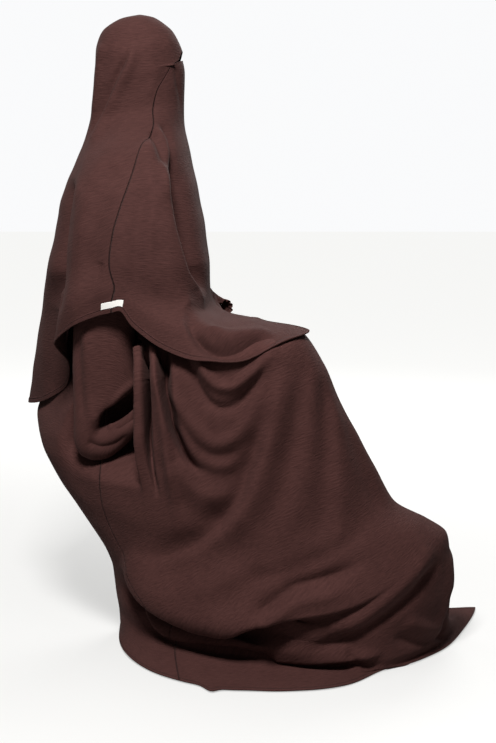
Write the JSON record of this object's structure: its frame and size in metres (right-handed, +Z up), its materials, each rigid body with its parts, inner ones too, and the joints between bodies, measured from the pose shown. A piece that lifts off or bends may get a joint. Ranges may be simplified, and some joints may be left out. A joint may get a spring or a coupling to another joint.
{
  "type": "prayer abaya set",
  "caption": "Dark brown prayer abaya and long khimar with face veil, kept in a seated wearer's pose, wide gathered sleeves, hem trailing on the floor",
  "frame": {"origin": "inside of the crown of the khimar, where the wearer's head carries it", "axes": "+X the way the wearer faces, +Y the wearer's left, +Z up"},
  "size_m": [0.9769, 0.8407, 1.2775],
  "materials": {
    "abaya": "matte crepe",
    "khimar": "matte crepe",
    "label": "smooth woven tape"
  },
  "bodies": {
    "root": {"abaya_front": "abaya", "abaya_back": "abaya", "neck_binding": "abaya", "sleeve_right": "abaya", "sleeve_left": "abaya", "cuff_right": "abaya", "cuff_left": "abaya", "khimar_back": "khimar", "khimar_front": "khimar", "label": "label"}
  },
  "joints": []
}
